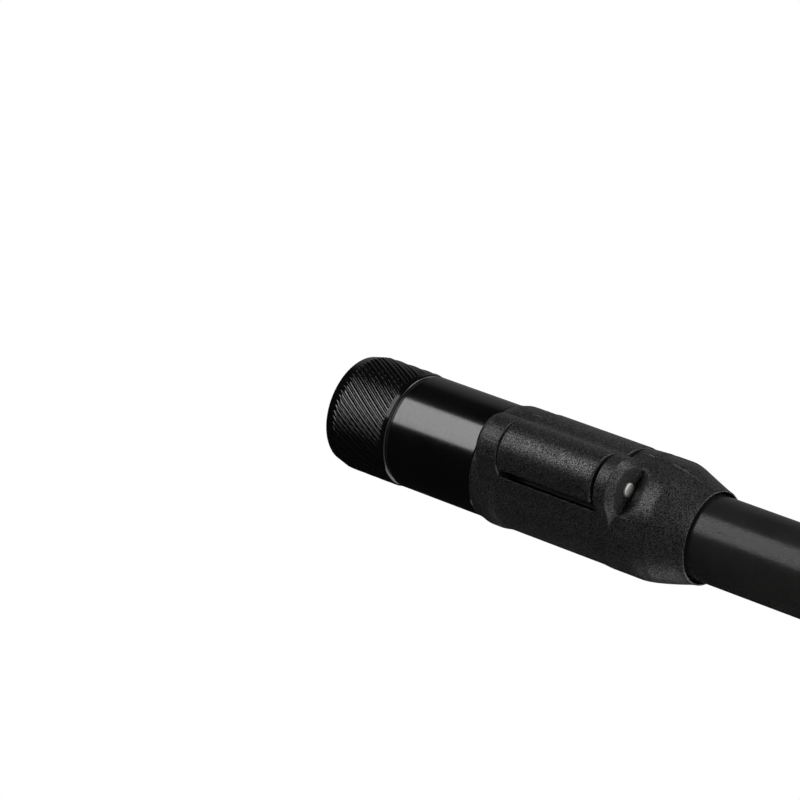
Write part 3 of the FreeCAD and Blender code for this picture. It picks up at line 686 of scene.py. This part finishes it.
def knurled_ring(name):
    """The lock ring: slanting ridges, cut back by the taper at the camera's end, and a plain rim."""
    low, high = spans("lock_ring")
    outer, top, bottom = high[0], high[2], low[2]
    bore = spans("head_plug")[1][0] - RING_WALL
    rim = bottom + RING_RIM
    shoulder = top - 4.0
    skin = [  # radius and height of the envelope, from the top down
        (11.55, top), (11.7, top - 0.15), (outer - 0.2, top - 2.6), (outer - 0.06, top - 3.0),
        (outer, shoulder), (outer, rim + 0.15), (outer - 0.03, rim), (outer - 0.2, bottom + 0.25),
        (outer - 0.4, bottom),
    ]
    heights = np.concatenate([
        np.linspace(top, shoulder, 22), np.linspace(shoulder, rim + 0.17, 46)[1:],
        [rim + 0.15, rim + 0.1, rim + 0.05], np.linspace(rim, bottom, 8),
    ])
    envelope = np.interp(-heights, [-z for _, z in skin], [r for r, _ in skin])
    columns = RIDGE_PAIRS * RIDGE_SAMPLES
    grid, tall = np.meshgrid(directions(columns), heights)
    turns = (grid - tall * math.tan(math.radians(RIDGE_SLANT)) / outer) / (2 * math.pi)
    phase = RIDGE_PAIRS * turns
    cut = np.full(phase.shape, np.inf)
    for place, radius, drop in RIDGES:
        aside = np.abs(phase - place - np.round(phase - place)) * 2 * math.pi * outer / RIDGE_PAIRS
        cut = np.minimum(cut, drop + radius - np.sqrt(np.maximum(radius ** 2 - aside ** 2, 0)))
    cut *= np.clip((tall - rim - 0.05) / 0.1, 0, 1)
    inside = [(bore, bottom), (bore, top - PAD_DEPTH), (PAD_RADIUS, top - PAD_DEPTH), (PAD_RADIUS, top)]
    inner_radii, inner_heights = zip(*inside)
    radii = np.concatenate([np.minimum(envelope[:, None], outer - cut), all_round(inner_radii, columns)])
    levels = np.concatenate([all_round(heights, columns), all_round(inner_heights, columns)])
    return wrap(name, radii[::-1], levels[::-1])


def threaded_stud(name, columns=96):
    """The quarter inch stud: a real helical thread above the seat, and a plain shank below it."""
    low, high = spans("camera_stud")
    top, bottom = high[2], low[2]
    heights = np.arange(THREAD_START, top + 1e-6, THREAD_PITCH / THREAD_ROWS)
    grid, tall = np.meshgrid(directions(columns), heights)
    phase = tall / THREAD_PITCH - grid / (2 * math.pi)
    from_crest = np.abs(phase - np.round(phase)) * 2
    profile = np.clip((from_crest - THREAD_CREST) / THREAD_FLANK, 0, 1)
    threaded = THREAD_RADIUS - (THREAD_RADIUS - THREAD_ROOT) * profile
    pointed = (THREAD_RADIUS + (top - STUD_POINT - tall)).clip(0, THREAD_RADIUS)
    plain = [
        (ALMOST_AXIS, bottom), (STUD_SHANK - STUD_CHAMFER, bottom), (STUD_SHANK, bottom + STUD_CHAMFER),
        (STUD_SHANK, STUD_SHANK_TOP - STUD_CHAMFER), (STUD_SHANK - STUD_CHAMFER, STUD_SHANK_TOP),
        (THREAD_ROOT, STUD_SHANK_TOP), (THREAD_ROOT, THREAD_START - 0.02),
    ]
    plain_radii, plain_heights = zip(*plain)
    radii = np.concatenate([
        all_round(plain_radii, columns), np.minimum(threaded, pointed), all_round([ALMOST_AXIS], columns)
    ])
    return wrap(name, radii, all_round([*plain_heights, *heights, top], columns))


def domed_pin(name, lock, dome=0.4, columns=96):
    """The hinge pin, with a domed end towards the foot."""
    low, high = spans(lock.pin)
    radius, bottom, top = lock.pin_radius, low[2], high[2]
    curve = [(math.sin(a) * radius, bottom - dome * math.cos(a)) for a in np.linspace(0.02, math.pi / 2, 14)]
    piece = turned(name, curve + [(radius, top - 0.2), (radius - 0.2, top), (0.02, top)], columns)
    piece.data.transform(Matrix.Translation((0, -lock.pin_offset * MM, 0)))
    return piece


def tube(name, node, bore, *screws):
    """A long round tube with softly broken ends, drilled for its set screws."""
    low, high = spans(node)
    radius, bottom, top = high[0], low[2], high[2]
    piece = turned(name, ease([(bore, bottom), (radius, bottom), (radius, top), (bore, top)], 0.3), 256)
    for node_of_screws in screws:
        drill(piece, node_of_screws)
    round_normals(piece.data)
    return piece


def drill(piece, node):
    """Cuts a round hole through a tube's wall over each set screw of a CAD node."""
    for centre, angle in screw_places(node):
        bpy.ops.mesh.primitive_cylinder_add(vertices=48, radius=HOLE_RADIUS * MM, depth=6 * MM)
        cutter = bpy.context.active_object
        turn = Matrix.Rotation(angle, 4, "Z") @ Matrix.Rotation(math.pi / 2, 4, "Y")
        cutter.matrix_world = Matrix.Translation(centre * MM) @ turn
        change = piece.modifiers.new("hole", "BOOLEAN")
        change.object = cutter
        change.solver = "EXACT"
        settled = bpy.data.meshes.new_from_object(piece.evaluated_get(bpy.context.evaluated_depsgraph_get()))
        piece.modifiers.clear()
        piece.data = settled
        bpy.data.objects.remove(cutter)


def screw_places(node):
    """Centre and direction, in radians, of each separate screw in a CAD node of set screws."""
    points = np.array([v.co[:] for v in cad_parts[node].data.vertices]) / MM
    angles = np.degrees(np.arctan2(points[:, 1], points[:, 0]))
    groups = np.round(angles / SCREWS_APART).astype(int)
    places = []
    for group in sorted(set(groups)):
        near = points[groups == group]
        middle = (near.max(0) + near.min(0)) / 2
        places.append((Vector(middle), math.atan2(middle[1], middle[0])))
    return places


def round_normals(mesh):
    """Shades the round faces of a drilled tube as if they had no cuts, and its other faces flat."""
    normals = [None] * len(mesh.loops)
    for face in mesh.polygons:
        away = Vector((face.center.x, face.center.y, 0)).normalized()
        facing = face.normal.dot(away)
        for loop in face.loop_indices:
            corner = mesh.vertices[mesh.loops[loop].vertex_index].co
            out = Vector((corner.x, corner.y, 0)).normalized()
            normals[loop] = out * math.copysign(1, facing) if abs(facing) > ROUND_FACE else face.normal
    mesh.normals_split_custom_set(normals)


def rubber_foot(name):
    """The rubber foot, with grip ribs on its flare and a treaded sole."""
    low, high = spans("rubber_foot")
    bottom, top = low[2], high[2]
    neck, bore, bore_end = 8.4, 4.02, 9.0
    outline = [  # radius, and height above the sole
        (ALMOST_AXIS, 0.5), (3.0, 0.5), (3.2, 0), (5.0, 0), (5.2, 0.9), (6.2, 0.9), (6.4, 0), (9.9, 0),
        (11.0, 1.2), (11.0, 5.0), (10.45, 5.9), (10.2, 6.6), (9.9, 7.4), (9.5, 8.6), (9.9, 8.9), (9.9, 9.9),
        (9.2, 10.3), (8.9, 11.8), (9.3, 12.1), (9.3, 13.1), (8.6, 13.5), (8.1, 16.6), (neck, 18.0),
        (neck, top - bottom), (bore, top - bottom), (bore, bore_end), (ALMOST_AXIS, bore_end),
    ]
    return turned(name, ease([(radius, bottom + height) for radius, height in outline], 0.3), 160)


# ---------------------------------------------------------------- the object

dress(knurled_ring("knurled_lock_ring"), "ring", "knurled_anodised", KNURLED, "lock_ring")
dress(threaded_stud("threaded_stud"), "head", "steel", STEEL, "camera_stud")

head_tube = tube("upper_tube_skin", "upper_tube", 11.0, "plug_set_screws", "housing_set_screws")
dress(head_tube, "head", "gloss_anodised", GLOSS, "upper_tube")
pole = tube("pole_tube_skin", "pole_tube", 8.0, "lower_set_screws")
dress(pole, "pole", "satin_anodised", SATIN, "pole_tube")
leg = tube("leg_tube_skin", "leg_tube", 6.0)
dress(leg, "leg", "satin_anodised", SATIN, "leg_tube")

for lock, side, holder, step in ((UPPER, "", "head", 0.25), (LOWER, "lower_", "pole", 0.35)):
    shape = housing_distance(lock)
    moulded(side + "lock_body", lock.housing, shape, step, holder, "moulded_plastic", HOUSING)
    shape = lever_distance(lock)
    moulded(side + "flip_lever", lock.lever, shape, step, side + "lever", "lever_plastic", LEVER)
    dress(domed_pin(side + "hinge_pin", lock), holder, "steel", STEEL, lock.pin)

dress(rubber_foot("ribbed_foot"), "leg", "rubber", RUBBER, "rubber_foot")

CAD_MATERIALS = {
    "head_plug": SATIN, "plug_set_screws": BLACK_STEEL, "housing_set_screws": BLACK_STEEL,
    "nose_bush": BUSH, "seat_pad": RUBBER, "brake_shoe": BUSH, "pole_cap": BUSH,
    "lower_set_screws": BLACK_STEEL, "lower_nose_bush": BUSH, "lower_brake_shoe": BUSH,
    "leg_bush": BUSH, "foot_plug": PLUG,
}
for node, material in CAD_MATERIALS.items():
    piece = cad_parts[node]
    piece.data.materials.clear()
    piece.data.materials.append(material)
    eased = piece.modifiers.new("eased_edges", "BEVEL")
    eased.width = 0.12 * MM
    eased.segments = 2
    eased.limit_method = "ANGLE"
    eased.angle_limit = math.radians(40)
    eased.use_clamp_overlap = True


# ---------------------------------------------------------------- stage, light and camera

VIEW_FROM = Vector((-0.1788, -0.6479, -0.4859))
VIEW_ALONG = Vector((0.2224, 0.7846, 0.5787)).normalized()
VIEW_UP = Vector((0.8503, -0.4464, 0.2786))
FOCAL_LENGTH = 174.35  # millimetres, on the usual 36 mm sensor

FLOOR = -0.602  # just under the foot when both tubes are drawn right out
HEAD = Vector((0, 0, -0.08))  # what the lights face
FLOOR_SPOT = Vector((0.2, 0.65, FLOOR))  # the floor behind the pole

LIGHTS = (  # name, way from the target, distance, width, height, power and target
    ("key_box", (0.142, -0.807, 0.57), 0.9, 0.7, 0.38, 3.65, HEAD),
    ("floor_wash", (0, 0.001, 1), 0.45, 1.2, 0.9, 15, FLOOR_SPOT),
    ("key_skirt", (0.142, -0.807, 0.22), 0.9, 0.7, 0.24, 0.85, HEAD),
    ("low_left", (-0.72, 0.68, -0.2), 0.85, 0.7, 0.8, 2.7, HEAD),
    ("low_right", (0.8, -0.2, -0.55), 0.8, 0.4, 0.4, 2.2, HEAD),
    ("under_panel", (0.04, -0.3, -0.95), 0.49, 0.25, 0.25, 0.42, HEAD),
)

WORLD_BRIGHT_WAY = Vector((0.62, 0.53, 0.579))
WORLD_FADE = (("From Min", 0.76), ("From Max", 0.98), ("To Min", 0.006), ("To Max", 0.17))


def floor():
    """A pale floor, lifted a little for the camera's own rays so that it's pale from every side."""
    bpy.ops.mesh.primitive_plane_add(size=30, location=(0, 0, FLOOR))
    plane = bpy.context.active_object
    plane.name = "pale_floor"
    n = Nodes("pale_floor_paint")
    patches = n.noise(300.0, 3.0)
    paint = n.colour(n.spread(patches, 0.0, 1.0), (0.78, 0.78, 0.77), (0.82, 0.82, 0.81))
    seen = n.add("ShaderNodeLightPath").outputs["Is Camera Ray"]
    n.set(Base_Color=paint, Roughness=0.9, Emission_Color=paint, Emission_Strength=n.times(seen, 0.75))
    plane.data.materials.append(n.material)


def soft_box(name, way, distance, width, height, power, target):
    """An area light that faces its target. way is the direction from the target to the light."""
    lamp = bpy.data.lights.new(name, "AREA")
    lamp.shape = "RECTANGLE"
    lamp.size, lamp.size_y = width, height
    lamp.energy = power
    holder = bpy.data.objects.new(name, lamp)
    way = Vector(way).normalized()
    holder.location = target + way * distance
    holder.rotation_euler = (-way).to_track_quat("-Z", "Y").to_euler()
    holder.visible_camera = False
    bpy.context.scene.collection.objects.link(holder)


def surroundings():
    """White to the camera, and to the object bright on one side and dim on the others."""
    world = bpy.data.worlds.new("white_sweep")
    bpy.context.scene.world = world
    world.use_nodes = True
    tree = world.node_tree
    shown = tree.nodes["Background"]
    shown.inputs["Color"].default_value = (1, 1, 1, 1)
    way = tree.nodes.new("ShaderNodeTexCoord")
    facing = tree.nodes.new("ShaderNodeVectorMath")
    facing.operation = "DOT_PRODUCT"
    facing.inputs[1].default_value = WORLD_BRIGHT_WAY
    fade = tree.nodes.new("ShaderNodeMapRange")
    fade.interpolation_type = "SMOOTHSTEP"
    for key, number in WORLD_FADE:
        fade.inputs[key].default_value = number
    light = tree.nodes.new("ShaderNodeBackground")
    ray = tree.nodes.new("ShaderNodeLightPath")
    mix = tree.nodes.new("ShaderNodeMixShader")
    tree.links.new(way.outputs["Generated"], facing.inputs[0])
    tree.links.new(facing.outputs["Value"], fade.inputs["Value"])
    tree.links.new(fade.outputs["Result"], light.inputs["Color"])
    tree.links.new(ray.outputs["Is Camera Ray"], mix.inputs["Fac"])
    tree.links.new(light.outputs[0], mix.inputs[1])
    tree.links.new(shown.outputs[0], mix.inputs[2])
    tree.links.new(mix.outputs[0], tree.nodes["World Output"].inputs["Surface"])


def camera():
    data = bpy.data.cameras.new("camera")
    data.lens = FOCAL_LENGTH
    data.clip_start, data.clip_end = 0.01, 100
    holder = bpy.data.objects.new("camera", data)
    bpy.context.scene.collection.objects.link(holder)
    across = VIEW_ALONG.cross(VIEW_UP).normalized()
    up = across.cross(VIEW_ALONG)
    turn = Matrix((across, up, -VIEW_ALONG)).transposed().to_4x4()
    holder.matrix_world = Matrix.Translation(VIEW_FROM) @ turn
    bpy.context.scene.camera = holder


floor()
for light in LIGHTS:
    soft_box(*light)
surroundings()
camera()
bpy.context.scene.view_settings.view_transform = "Standard"
